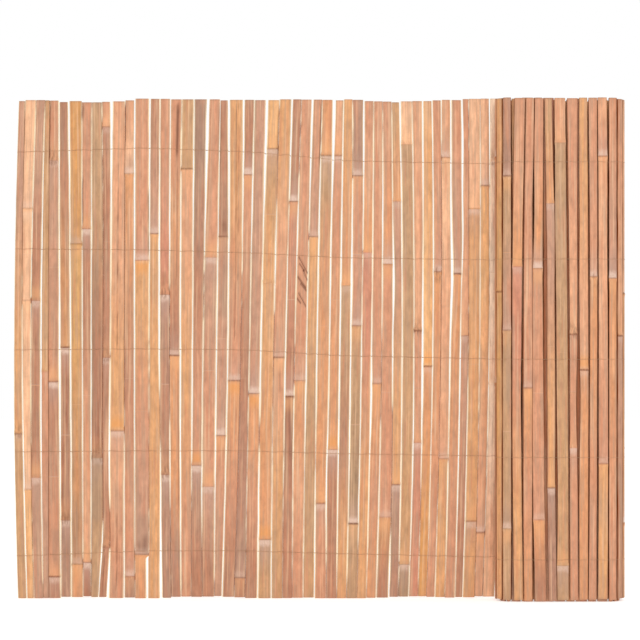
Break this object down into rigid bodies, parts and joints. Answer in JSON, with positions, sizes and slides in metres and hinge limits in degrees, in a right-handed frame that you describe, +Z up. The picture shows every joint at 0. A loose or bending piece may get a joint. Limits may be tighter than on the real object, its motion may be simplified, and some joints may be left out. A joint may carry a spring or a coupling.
{
  "type": "bamboo fence panel",
  "caption": "Fence mat of upright split bamboo slats bound by rows of wire, flat on the left and wound into a flattened roll at its right end.",
  "frame": {"origin": "on the ground under the middle of the bounding box", "axes": "+Z up along the slats, +X along the mat from its flat end to its rolled end, +Y to the back, away from the roll"},
  "size_m": [1.2332, 0.074, 1.01],
  "materials": {
    "bamboo": "natural split bamboo, smooth satin skin with waxy bands at the culm nodes",
    "wire": "thin galvanised binding wire, dulled by weather"
  },
  "bodies": {
    "root": {"slat_01": "bamboo", "slat_02": "bamboo", "slat_03": "bamboo", "slat_04": "bamboo", "slat_05": "bamboo", "slat_06": "bamboo", "slat_07": "bamboo", "slat_08": "bamboo", "slat_09": "bamboo", "slat_10": "bamboo", "slat_11": "bamboo", "slat_12": "bamboo", "slat_13": "bamboo", "slat_14": "bamboo", "slat_15": "bamboo", "slat_16": "bamboo", "slat_17": "bamboo", "slat_18": "bamboo", "slat_19": "bamboo", "slat_20": "bamboo", "slat_21": "bamboo", "slat_22": "bamboo", "slat_23": "bamboo", "slat_24": "bamboo", "slat_25": "bamboo", "slat_26": "bamboo", "slat_27": "bamboo", "slat_28": "bamboo", "slat_29": "bamboo", "slat_30": "bamboo", "slat_31": "bamboo", "slat_32": "bamboo", "slat_33": "bamboo", "slat_34": "bamboo", "slat_35": "bamboo", "slat_36": "bamboo", "slat_37": "bamboo", "slat_38": "bamboo", "slat_39": "bamboo", "slat_40": "bamboo", "slat_41": "bamboo", "slat_42": "bamboo", "slat_43": "bamboo", "slat_44": "bamboo", "slat_45": "bamboo", "slat_46": "bamboo", "roll_back_slats": "bamboo", "roll_outer_slats": "bamboo", "roll_inner_slats": "bamboo", "wire_row_1": "wire", "wire_row_2": "wire", "wire_row_3": "wire", "wire_row_4": "wire", "wire_row_5": "wire"}
  },
  "joints": []
}
